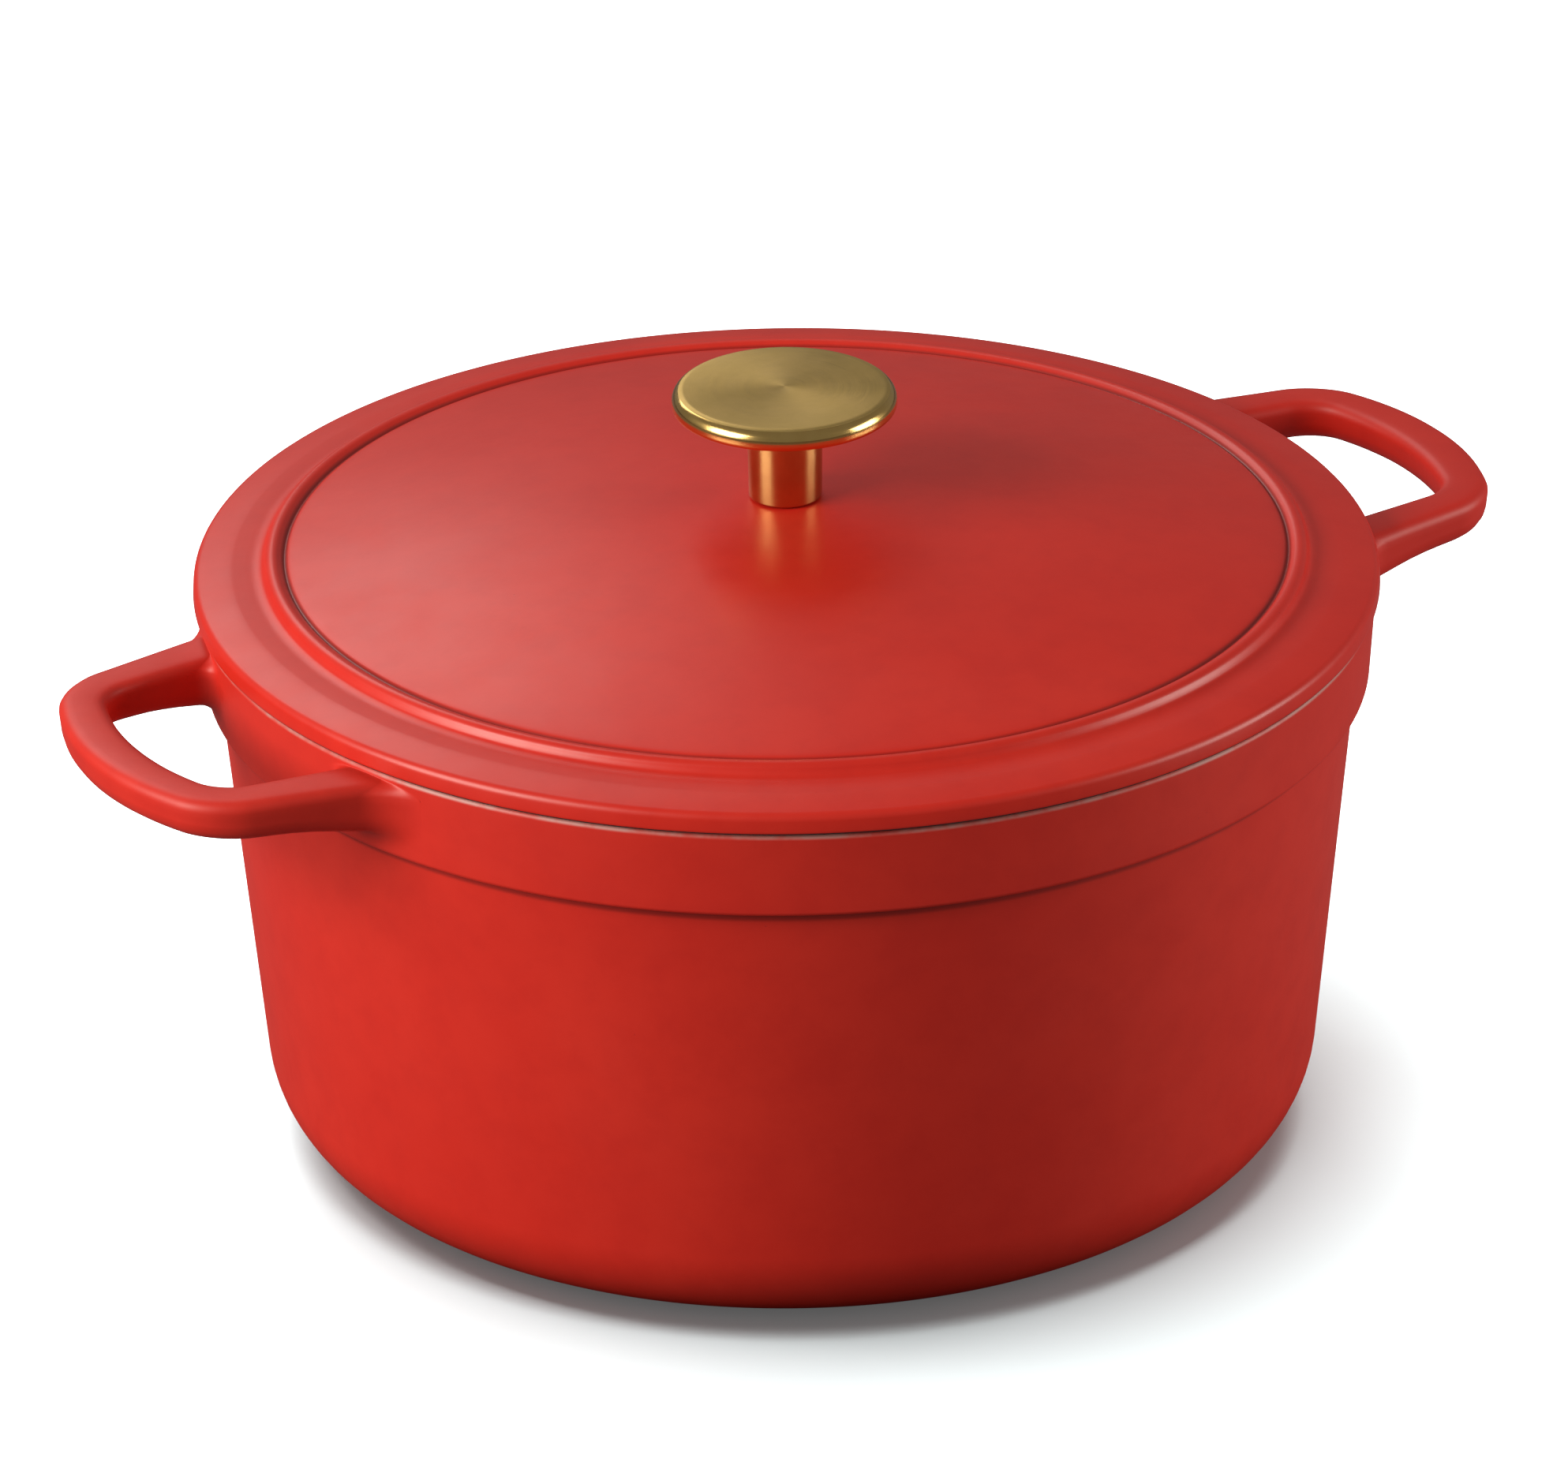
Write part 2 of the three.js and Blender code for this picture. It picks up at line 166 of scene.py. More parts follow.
class Graph:
    """A short way to write a material's nodes."""

    def __init__(self, name):
        self.material = bpy.data.materials.new(name)
        self.material.use_nodes = True
        self.tree = self.material.node_tree
        self.tree.nodes.clear()
        self.shader = self.node("ShaderNodeBsdfPrincipled")
        output = self.node("ShaderNodeOutputMaterial")
        self.tree.links.new(self.shader.outputs["BSDF"], output.inputs["Surface"])
        self.place = self.node("ShaderNodeTexCoord").outputs["Object"]

    def node(self, kind, **settings):
        made = self.tree.nodes.new(kind)
        for name, value in settings.items():
            setattr(made, name, value)
        return made

    def feed(self, socket, value):
        if isinstance(value, bpy.types.NodeSocket):
            self.tree.links.new(value, socket)
        else:
            socket.default_value = value

    def noise(self, scale, detail, rough=0.55, distortion=0.0, vector=None):
        made = self.node("ShaderNodeTexNoise")
        self.feed(made.inputs["Vector"], vector or self.place)
        self.feed(made.inputs["Scale"], scale)
        self.feed(made.inputs["Detail"], detail)
        self.feed(made.inputs["Roughness"], rough)
        self.feed(made.inputs["Distortion"], distortion)
        return made.outputs["Fac"]

    def cells(self, scale):
        made = self.node("ShaderNodeTexVoronoi")
        self.feed(made.inputs["Vector"], self.place)
        self.feed(made.inputs["Scale"], scale)
        return made.outputs["Distance"]

    def spread(self, value, low, high, to_low, to_high):
        """A smooth step: to_low up to low, to_high from high on."""
        made = self.node("ShaderNodeMapRange")
        made.interpolation_type = "SMOOTHSTEP"
        for name, item in (
            ("Value", value),
            ("From Min", low),
            ("From Max", high),
            ("To Min", to_low),
            ("To Max", to_high),
        ):
            self.feed(made.inputs[name], item)
        return made.outputs["Result"]

    def math(self, operation, *values):
        made = self.node("ShaderNodeMath", operation=operation)
        for socket, value in zip(made.inputs, values):
            self.feed(socket, value)
        return made.outputs["Value"]

    def blend(self, share, low, high):
        made = self.node("ShaderNodeMix", data_type="RGBA")
        self.feed(made.inputs["Factor"], share)
        self.feed(made.inputs["A"], low if not isinstance(low, tuple) else (*low, 1))
        self.feed(made.inputs["B"], high if not isinstance(high, tuple) else (*high, 1))
        return made.outputs["Result"]

    def bump(self, height, distance, strength, normal=None):
        made = self.node("ShaderNodeBump")
        self.feed(made.inputs["Height"], height)
        self.feed(made.inputs["Distance"], distance)
        self.feed(made.inputs["Strength"], strength)
        if normal is not None:
            self.feed(made.inputs["Normal"], normal)
        return made.outputs["Normal"]

    def parts(self):
        """The object coordinates in metres, one socket for each axis."""
        made = self.node("ShaderNodeSeparateXYZ")
        self.feed(made.inputs["Vector"], self.place)
        return [made.outputs[axis] for axis in "XYZ"]

    def radius(self, x, y):
        squares = self.math("ADD", self.math("MULTIPLY", x, x), self.math("MULTIPLY", y, y))
        return self.math("SQRT", squares)

    def distance_from(self, value, place):
        """How far a value in metres is from a place in millimetres, in metres."""
        return self.math("ABSOLUTE", self.math("SUBTRACT", value, place * MM))

    def over(self, value, low, high, to_low, to_high):
        """The same smooth step, with low and high in millimetres."""
        return self.spread(value, low * MM, high * MM, to_low, to_high)

    def joined(self, x, y, z):
        made = self.node("ShaderNodeCombineXYZ")
        for socket, value in zip(made.inputs, (x, y, z)):
            self.feed(socket, value)
        return made.outputs["Vector"]

    def finish(self, **inputs):
        """Feeds the shader's inputs, with _ for each space in a name, and gives the material."""
        for name, value in inputs.items():
            value = (*value, 1) if isinstance(value, tuple) and len(value) == 3 else value
            self.feed(self.shader.inputs[name.replace("_", " ")], value)
        return self.material


def red_enamel():
    g = Graph("red_enamel")
    x, y, z = g.parts()
    cloud = g.noise(11.0, 4.0, 0.6)
    mottle = g.noise(95.0, 5.0, 0.65)
    colour = g.blend(g.spread(cloud, 0.3, 0.7, 0, 1), (0.63, 0.0185, 0.0085), (0.68, 0.025, 0.0115))
    colour = g.blend(g.spread(mottle, 0.35, 0.75, 0, 0.35), colour, (0.54, 0.013, 0.007))
    # Painted shade: the corner under the band and the lid's groove are darkened in the colour.
    painted_shade = g.math("MAXIMUM", shade_under_band(g, z), shade_in_groove(g, g.radius(x, y), z))
    colour = g.blend(painted_shade, colour, (0.16, 0.004, 0.003))
    # A lighter line on the rim's edge: thin enamel, partly a painted highlight.
    colour = g.blend(thin_edge_and_highlight(g, z), colour, (0.52, 0.27, 0.22))
    pits = g.spread(g.cells(410.0), 0.0, 0.11, 1, 0)
    sparse = g.spread(g.noise(60.0, 2.0), 0.62, 0.72, 0, 1)
    pit = g.math("MULTIPLY", pits, sparse)
    colour = g.blend(g.math("MULTIPLY", pit, 0.55), colour, (0.25, 0.008, 0.006))
    haze = g.noise(26.0, 6.0, 0.7)
    duller_pot = g.over(z, RIM_HEIGHT - 1.5, RIM_HEIGHT + 1.5, 0.12, 0)
    roughness = g.math("ADD", g.spread(haze, 0.3, 0.75, 0.33, 0.41), duller_pot)
    peel = g.noise(520.0, 2.0, 0.5)
    waves = g.noise(70.0, 2.0, 0.4)
    normal = g.bump(waves, 0.00016, 0.25)
    normal = g.bump(peel, 0.00003, 0.35, normal)
    normal = g.bump(g.math("SUBTRACT", 1.0, pit), 0.00008, 0.5, normal)
    return g.finish(
        Base_Color=colour, Roughness=roughness, Normal=normal, IOR=1.5, Specular_Tint=(1.0, 0.95, 0.85)
    )


def shade_under_band(g, z):
    """Painted shade: darker colour just under the band, where its ledge shades the wall."""
    return g.over(g.distance_from(z, BAND_BOTTOM - 1.1), 0.5, 1.6, 0.6, 0)


def shade_in_groove(g, radius, z):
    """Painted shade: darker colour in the lid's groove."""
    near = g.over(g.distance_from(radius, GROOVE_RADIUS), 0.3, 1.0, 0.6, 0)
    return g.math("MULTIPLY", near, g.over(z, RIM_HEIGHT + 1.5, RIM_HEIGHT + 3.5, 0, 1))


def thin_edge_and_highlight(g, z):
    """A lighter line on the edge of the pot's rim: thin enamel, and partly a painted highlight of the rounded
    edge.
    """
    above = g.over(z, RIM_HEIGHT - 1.2, RIM_HEIGHT - 0.5, 0, 1)
    below = g.over(z, RIM_HEIGHT - 0.1, RIM_HEIGHT + 0.2, 1, 0)
    patches = g.spread(g.noise(60.0, 4.0, 0.7), 0.35, 0.6, 0.2, 0.8)
    return g.math("MULTIPLY", g.math("MULTIPLY", above, below), patches)


def cream_enamel():
    g = Graph("cream_enamel")
    cloud = g.noise(14.0, 4.0, 0.6)
    colour = g.blend(g.spread(cloud, 0.3, 0.7, 0, 1), (0.66, 0.57, 0.43), (0.72, 0.65, 0.52))
    freckle = g.math(
        "MULTIPLY",
        g.spread(g.cells(330.0), 0.0, 0.16, 1, 0),
        g.spread(g.noise(85.0, 2.0), 0.56, 0.66, 0, 1),
    )
    colour = g.blend(g.math("MULTIPLY", freckle, 0.6), colour, (0.24, 0.15, 0.08))
    roughness = g.spread(g.noise(30.0, 5.0, 0.7), 0.3, 0.75, 0.16, 0.27)
    normal = g.bump(g.noise(75.0, 2.0, 0.4), 0.00016, 0.3)
    normal = g.bump(g.noise(560.0, 2.0, 0.5), 0.00003, 0.3, normal)
    return g.finish(Base_Color=colour, Roughness=roughness, Normal=normal, IOR=1.5)


def bare_rim():
    g = Graph("matte_dark_rim")
    grain = g.noise(900.0, 4.0, 0.7)
    cloud = g.noise(45.0, 4.0, 0.6)
    colour = g.blend(g.spread(cloud, 0.3, 0.7, 0, 1), (0.018, 0.012, 0.011), (0.040, 0.026, 0.022))
    colour = g.blend(g.spread(grain, 0.55, 0.75, 0, 0.5), colour, (0.085, 0.06, 0.05))
    roughness = g.spread(grain, 0.3, 0.7, 0.52, 0.74)
    return g.finish(Base_Color=colour, Roughness=roughness, Normal=g.bump(grain, 0.00006, 0.6))


def scuffed_foot():
    g = Graph("scuffed_foot")
    grain = g.noise(700.0, 5.0, 0.7)
    x, y, _ = g.parts()
    stretched = g.joined(g.math("MULTIPLY", x, 0.12), y, 0.0)
    scratch = g.noise(700.0, 3.0, 0.6, 1.2, stretched)
    wear = g.spread(g.noise(48.0, 5.0, 0.65), 0.42, 0.62, 0, 1)
    colour = g.blend(wear, (0.10, 0.012, 0.009), (0.055, 0.048, 0.045))
    colour = g.blend(g.spread(scratch, 0.58, 0.7, 0, 0.7), colour, (0.20, 0.18, 0.17))
    roughness = g.spread(grain, 0.3, 0.7, 0.42, 0.66)
    return g.finish(Base_Color=colour, Roughness=roughness, Normal=g.bump(grain, 0.00005, 0.5))


def turned_gold(name, low_roughness, high_roughness, ring_height, grain, low, high):
    """Gold-coloured metal with the faint rings and the grain that turning leaves around Z."""
    g = Graph(name)
    x, y, z = g.parts()
    across = g.math("ADD", g.radius(x, y), g.math("MULTIPLY", z, 0.7))
    along = g.joined(across, g.math("MULTIPLY", x, 0.012), g.math("MULTIPLY", y, 0.012))
    rings = g.noise(5200.0, 3.0, 0.6, 0.0, along)
    cloud = g.noise(160.0, 4.0, 0.6)
    colour = g.blend(g.spread(cloud, 0.3, 0.7, 0, 1), low, high)
    roughness = g.math(
        "ADD",
        g.spread(rings, 0.3, 0.7, low_roughness, high_roughness),
        g.spread(g.noise(70.0, 5.0, 0.7), 0.35, 0.7, 0.0, 0.05),
    )
    normal = g.bump(rings, ring_height, 0.5)
    turning = g.node("ShaderNodeTangent", direction_type="RADIAL", axis="Z").outputs["Tangent"]
    return g.finish(
        Base_Color=colour,
        Roughness=roughness,
        Normal=normal,
        Metallic=1.0,
        Anisotropic=grain,
        Tangent=turning,
    )


def steel(name, tint):
    g = Graph(name)
    brushed = g.noise(2600.0, 3.0, 0.6)
    cloud = g.noise(240.0, 4.0, 0.6)
    dark = tuple(0.8 * part for part in tint)
    colour = g.blend(g.spread(cloud, 0.3, 0.7, 0, 1), dark, tint)
    roughness = g.spread(brushed, 0.3, 0.7, 0.24, 0.4)
    normal = g.bump(brushed, 0.00001, 0.5)
    return g.finish(Base_Color=colour, Roughness=roughness, Normal=normal, Metallic=1.0)


def silicone():
    g = Graph("silicone")
    grain = g.noise(1500.0, 3.0, 0.6)
    dust = g.noise(200.0, 4.0, 0.6)
    colour = g.blend(g.spread(dust, 0.4, 0.7, 0, 1), (0.012, 0.012, 0.013), (0.03, 0.03, 0.031))
    roughness = g.spread(grain, 0.3, 0.7, 0.55, 0.75)
    return g.finish(Base_Color=colour, Roughness=roughness, Normal=g.bump(grain, 0.00002, 0.5))


RED = red_enamel()
CREAM = cream_enamel()
RIM = bare_rim()
FOOT = scuffed_foot()
SATIN = turned_gold("satin_gold", 0.44, 0.52, 0.00001, 0.35, (0.57, 0.385, 0.123), (0.605, 0.408, 0.137))
POLISHED = turned_gold("polished_gold", 0.12, 0.2, 0.000003, 0.2, (0.78, 0.49, 0.150), (0.83, 0.54, 0.175))
WARM = turned_gold("warm_gold", 0.14, 0.22, 0.000003, 0.2, (0.58, 0.35, 0.115), (0.64, 0.40, 0.135))
STEEL = steel("bright_steel", (0.62, 0.63, 0.64))
DARK_STEEL = steel("spring_steel", (0.36, 0.37, 0.39))
SILICONE = silicone()


# Mesh building -------------------------------------------------------------------------------------


class Shell:
    """The points and faces of one closed mesh as it is put together, in millimetres."""

    def __init__(self):
        self.points = []
        self.faces = []
        self.finishes = []

    def point(self, x, y, z):
        self.points.append((x, y, z))
        return len(self.points) - 1

    def face(self, corners, finish):
        distinct = list(dict.fromkeys(corners))
        if len(distinct) > 2:
            self.faces.append(distinct)
            self.finishes.append(finish)

    def bridge(self, first, second, finish):
        """Joins two closed loops of as many points."""
        for i in range(len(first)):
            j = (i + 1) % len(first)
            self.face([first[i], first[j], second[j], second[i]], finish)

    def build(self, name, sharp_degrees=50.0):
        finishes = list(dict.fromkeys(self.finishes))
        mesh = bpy.data.meshes.new(name)
        mesh.from_pydata([Vector(p) * MM for p in self.points], [], self.faces)
        for finish in finishes:
            mesh.materials.append(finish)
        mesh.polygons.foreach_set("material_index", [finishes.index(f) for f in self.finishes])
        edit = bmesh.new()
        edit.from_mesh(mesh)
        bmesh.ops.recalc_face_normals(edit, faces=edit.faces)
        edit.to_mesh(mesh)
        edit.free()
        made = bpy.data.objects.new(name, mesh)
        bpy.context.scene.collection.objects.link(made)
        smooth(made, sharp_degrees)
        return made


def smooth(made, sharp_degrees=50.0):
    made.data.polygons.foreach_set("use_smooth", [True] * len(made.data.polygons))
    made.data.set_sharp_from_angle(angle=math.radians(sharp_degrees))


def rounded(corners, step_degrees=11.0):
    """The path through corners (r, z) or (r, z, radius), with an arc at each corner that has a radius."""
    path = []
    for i, (r, z, *rest) in enumerate(corners):
        if not rest:
            path.append((r, z))
            continue
        here = Vector((r, z))
        before = (Vector(corners[i - 1][:2]) - here).normalized()
        after = (Vector(corners[(i + 1) % len(corners)][:2]) - here).normalized()
        half = before.angle(after) / 2
        centre = here + (before + after).normalized() * rest[0] / math.sin(half)
        start = here + before * rest[0] / math.tan(half) - centre
        turn = start.angle_signed(here + after * rest[0] / math.tan(half) - centre)
        steps = max(2, math.ceil(abs(turn) / math.radians(step_degrees)))
        for k in range(steps + 1):
            angle = -turn * k / steps
            path.append(tuple(centre + Matrix.Rotation(angle, 2) @ start))
    return path


def lathe(shell, path, finish_of, columns=COLUMNS, closed=False, skip=()):
    """Turns a path of (r, z) about Z. finish_of(r, z) gives the finish at a face's middle."""
    rings = []
    for r, z in path:
        if r < TINY:
            rings.append([shell.point(0, 0, z)] * columns)
            continue
        turn = [2 * math.pi * c / columns for c in range(columns)]
        rings.append([shell.point(r * math.cos(a), r * math.sin(a), z) for a in turn])
    ends = rings + [rings[0]] if closed else rings
    for i in range(len(ends) - 1):
        (r0, z0), (r1, z1) = path[i], path[(i + 1) % len(path)]
        finish = finish_of((r0 + r1) / 2, (z0 + z1) / 2)
        for c in range(columns):
            if (i, c) not in skip:
                d = (c + 1) % columns
                shell.face([ends[i][c], ends[i][d], ends[i + 1][d], ends[i + 1][c]], finish)
    return rings


def combined(base, tool, operation):
    """Joins or cuts base with tool, for good, and removes tool."""
    change = base.modifiers.new("combine", "BOOLEAN")
    change.operation = operation
    change.solver = "MANIFOLD"
    change.object = tool
    depsgraph = bpy.context.evaluated_depsgraph_get()
    mesh = bpy.data.meshes.new_from_object(base.evaluated_get(depsgraph))
    base.modifiers.clear()
    old = base.data
    base.data = mesh
    bpy.data.meshes.remove(old)
    bpy.data.meshes.remove(tool.data)
    smooth(base)
    return base


# Pot -----------------------------------------------------------------------------------------------


def pot_path():
    """The pot's outline in three stretches: up to the band, the band, and from the rim to the inside."""
    band_low = (BAND_LOWER_RADIUS, BAND_BOTTOM)
    band_high = (RIM_RADIUS, RIM_HEIGHT)
    lower = rounded(
        [
            (0, FOOT_RECESS),
            (FOOT_RADIUS, FOOT_RECESS, 0.3),
            (FOOT_RADIUS + 1.0, 0, 0.5),
            (WALL_BASE_RADIUS, 0, BASE_FILLET),
            (WALL_TOP_RADIUS, BAND_BOTTOM, 1.3),
            (*band_low, 1.3),
            band_high,
        ],
        step_degrees=6.0,
    )[:-1]
    upper = rounded(
        [
            band_low,
            (*band_high, 1.15),
            (inner_radius(RIM_HEIGHT), RIM_HEIGHT, 1.0),
            (inner_radius(FLOOR), FLOOR, INNER_FILLET),
            (90.0, FLOOR),
            (45.0, FLOOR),
            (0, FLOOR),
        ],
        step_degrees=7.0,
    )[1:]
    low, high = Vector(lower[-1]), Vector(upper[0])
    band = [tuple(low.lerp(high, k / BAND_ROWS)) for k in range(1, BAND_ROWS)]
    return lower, band, upper


def pot_finish(r, z):
    """The finish of the pot's face whose middle is at (r, z)."""
    if z > RIM_HEIGHT - BARE_DEPTH and r < RIM_RADIUS - BARE_INSET:
        return RIM
    fillet_centre = WALL_BASE_RADIUS - BASE_FILLET
    from_centre = math.dist((r, z), (fillet_centre, BASE_FILLET))
    on_fillet = r > fillet_centre and from_centre > BASE_FILLET - FILLET_SPLIT
    below = z < FLOOR - FLOOR_SPLIT or (z < BASE_FILLET and on_fillet)
    if r < inner_radius(z) + WALL / 2 and not below:
        return CREAM
    worn_from, worn_to = FOOT_WEAR
    return FOOT if z < FLAT and worn_from < r < worn_to else RED


def section():
    """Points round a rounded rectangle, each as (centre u, centre v, normal u, normal v).

    The loop starts at the lower inner corner and goes along the bottom, up the outside, back and down.
    A turn is a corner: its centre, the angle of its middle, and the steps of the side after it.
    """
    turns = ((-1, -1, 225, 6), (1, -1, 315, 4), (1, 1, 45, 6), (-1, 1, 135, 4))
    step = 22.5
    loop = []
    for i, (u, v, middle, straight) in enumerate(turns):
        next_u, next_v, next_middle, _ = turns[(i + 1) % 4]
        for k in range(3):
            angle = math.radians(middle + step * k)
            loop.append((u, v, math.cos(angle), math.sin(angle)))
        angle = math.radians(middle + step * 2)
        for k in range(1, straight):
            share = k / straight
            centre = (u + (next_u - u) * share, v + (next_v - v) * share)
            loop.append((*centre, math.cos(angle), math.sin(angle)))
        for k in (2, 1):
            angle = math.radians(next_middle - step * k)
            loop.append((next_u, next_v, math.cos(angle), math.sin(angle)))
    return loop


SECTION = section()


def handle_thickness(x):
    """The handle is thickest at the wall and gets thinner from below towards the grip."""
    extra = (depth * min(1, max(0, (end - x) / length)) ** power for end, length, depth, power in ARM_TAPER)
    return GRIP_THICKNESS + sum(extra)


def section_point(item, half_width, thickness):
    """A section point's place across, and up from the handle's top, drafted and crowned."""
    centre_u, centre_v, normal_u, normal_v = item
    half_height = thickness / 2
    edge = HANDLE_LOWER_EDGE + (HANDLE_TOP_EDGE - HANDLE_LOWER_EDGE) * (1 + centre_v) / 2
    across = centre_u * (half_width - edge) + normal_u * edge
    up = centre_v * (half_height - edge) + normal_v * edge
    side = across / half_width
    narrowed = across - side * HANDLE_DRAFT * (1 - up / half_height) / 2
    return narrowed, up - half_height - HANDLE_CROWN * side**2 * max(up, 0) / half_height


def bow_x(middle_x, y):
    return middle_x - HANDLE_BOW + math.sqrt(HANDLE_BOW**2 - y**2)


def edge_path(wall_point, corner_y, corner_round, middle_x):
    """Plan points of one edge of the handle: along the arm, round the corner and along half the grip."""
    wall = Vector(wall_point)
    corner = Vector((bow_x(middle_x, corner_y), corner_y))
    arm = (corner - wall).normalized()
    bend_start = corner - arm * corner_round
    grip_y = corner_y - corner_round
    bend_end = Vector((bow_x(middle_x, grip_y), grip_y))
    slope = Vector((grip_y / (bend_end.x - middle_x + HANDLE_BOW), -1)).normalized()
    pull = BEND_PULL * corner_round
    controls = (bend_start, bend_start + arm * pull, bend_end - slope * pull, bend_end)
    path = [wall + arm * start for start in ARM_STARTS]
    left = (bend_start - path[-1]).length
    path += [path[1] + arm * left * share for share in (0.34, 0.67)]
    for k in range(CORNER_STEPS + 1):
        t = k / CORNER_STEPS
        weights = ((1 - t) ** 3, 3 * t * (1 - t) ** 2, 3 * t * t * (1 - t), t**3)
        path.append(sum((c * w for c, w in zip(controls, weights)), Vector((0, 0))))
    for k in range(1, GRIP_STEPS + 1):
        y = grip_y * (1 - k / GRIP_STEPS)
        path.append(Vector((bow_x(middle_x, y), y)))
    return path


def band_radius(z, low, high):
    return low[0] + (high[0] - low[0]) * (z - low[1]) / (high[1] - low[1])


def arm_y(x):
    """The arm's inner and outer edge at x, before the fillet."""
    edges = []
    for wall, corner_y, _ in (HANDLE_INNER, HANDLE_OUTER):
        middle = HANDLE_REACH if wall is HANDLE_OUTER[0] else HANDLE_REACH - HANDLE_GRIP_WIDTH
        slope = (corner_y - wall[1]) / (bow_x(middle, corner_y) - wall[0])
        edges.append(wall[1] + slope * (x - wall[0]))
    return edges


def root_point(item, level, low, high):
    """A point of the fillet at the arm's root: level 0 lies on the wall and level 1 on the arm."""
    _, _, normal_u, normal_v = item
    side = ROOT_FILLET["outer" if normal_u > 0 else "inner"]
    upright = ROOT_FILLET["above" if normal_v > 0 else "below"]
    spread = 1 - math.sin(level * math.pi / 2)
    away = (side * normal_u**2 + upright * normal_v**2) * (1 - math.cos(level * math.pi / 2))
    x = FIRST_ROOT_X
    for _ in range(6):  # x, y and z depend on each other, and settle in a few rounds
        inner, outer = arm_y(x)
        across, up = section_point(item, (outer - inner) / 2, handle_thickness(x))
        y = (inner + outer) / 2 + across + side * spread * normal_u
        z = HANDLE_TOP + up + upright * spread * normal_v
        x = math.sqrt(band_radius(z, low, high) ** 2 - y**2) + away
    return Vector((x, y, z))


def handle_loops(low, high):
    """Loops of points from the wall at +Y to the middle of the grip."""
    levels = [k / ROOT_STEPS for k in range(ROOT_STEPS + 1)]
    loops = [[root_point(item, level, low, high) for item in SECTION] for level in levels]
    outer = edge_path(*HANDLE_OUTER, HANDLE_REACH)
    inner = edge_path(*HANDLE_INNER, HANDLE_REACH - HANDLE_GRIP_WIDTH)
    for out, into in zip(outer, inner):
        middle, across = (out + into) / 2, (out - into).normalized()
        loop = []
        for item in SECTION:
            along, up = section_point(item, (out - into).length / 2, handle_thickness(middle.x))
            place = middle + across * along
            loop.append(Vector((place.x, place.y, HANDLE_TOP + up)))
        loops.append(loop)
    return loops


def window(rings, rows, first, last):
    """The wall's points round the gap that an arm grows out of, in the section's order."""
    step = 1 if last > first else -1
    columns = list(range(first, last + step, step))
    loop = [rings[rows[0]][c % COLUMNS] for c in columns]
    loop += [rings[r][last % COLUMNS] for r in rows[1:]]
    loop += [rings[rows[-1]][c % COLUMNS] for c in reversed(columns[:-1])]
    loop += [rings[r][first % COLUMNS] for r in reversed(rows[1:-1])]
    return loop


def wall_patch(shell, around, root, low, high):
    """Fills the wall between the gap's edge and the arm's root with loops that lie on the wall."""
    before = around
    for k in range(1, PATCH_STEPS):
        share = k / PATCH_STEPS
        loop = []
        for start, end in zip(around, root):
            (ax, ay, az), (bx, by, bz) = shell.points[start], shell.points[end]
            turn = math.atan2(ay, ax)
            swing = (math.atan2(by, bx) - turn + math.pi) % (2 * math.pi) - math.pi
            angle, z = turn + swing * share, az + (bz - az) * share
            r = band_radius(z, low, high)
            loop.append(shell.point(r * math.cos(angle), r * math.sin(angle), z))
        shell.bridge(before, loop, RED)
        before = loop
    shell.bridge(before, root, RED)


def pot():
    shell = Shell()
    lower, band, upper = pot_path()
    rows = list(range(len(lower) - 1, len(lower) + BAND_ROWS))
    first, last = ARM_COLUMNS
    gaps = set()
    for middle in (0, COLUMNS // 2):
        for c in range(first, last):
            for r in rows[:-1]:
                gaps.add((r, (middle + c) % COLUMNS))
                gaps.add((r, (middle - c - 1) % COLUMNS))
    rings = lathe(shell, lower + band + upper, pot_finish, skip=gaps)
    low, high = lower[-1], upper[0]
    half = handle_loops(low, high)
    for middle, turn in ((0, 1), (COLUMNS // 2, -1)):
        loops = [[shell.point(turn * p.x, turn * p.y, p.z) for p in loop] for loop in half]
        loops += [[shell.point(turn * p.x, -turn * p.y, p.z) for p in loop] for loop in half[-2::-1]]
        for before, after in zip(loops, loops[1:]):
            shell.bridge(before, after, RED)
        wall_patch(shell, window(rings, rows, middle + first, middle + last), loops[0], low, high)
        wall_patch(shell, window(rings, rows, middle - first, middle - last), loops[-1], low, high)
    made = shell.build("pot_casting")
    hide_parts("pot_body")
    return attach(made, "pot")


# Lid -----------------------------------------------------------------------------------------------


def flowing(points, steps=5):
    """A smooth curve through the points (r, z), from the second of them to the last but one."""
    places = [Vector(point) for point in points]
    path = []
    for before, start, end, after in zip(places, places[1:], places[2:], places[3:]):
        for k in range(steps):
            t = k / steps
            curve = 2 * start + (end - before) * t
            curve += (2 * before - 5 * start + 4 * end - after) * t**2
            curve += (3 * start - before - 3 * end + after) * t**3
            path.append(tuple(curve / 2))
    return path


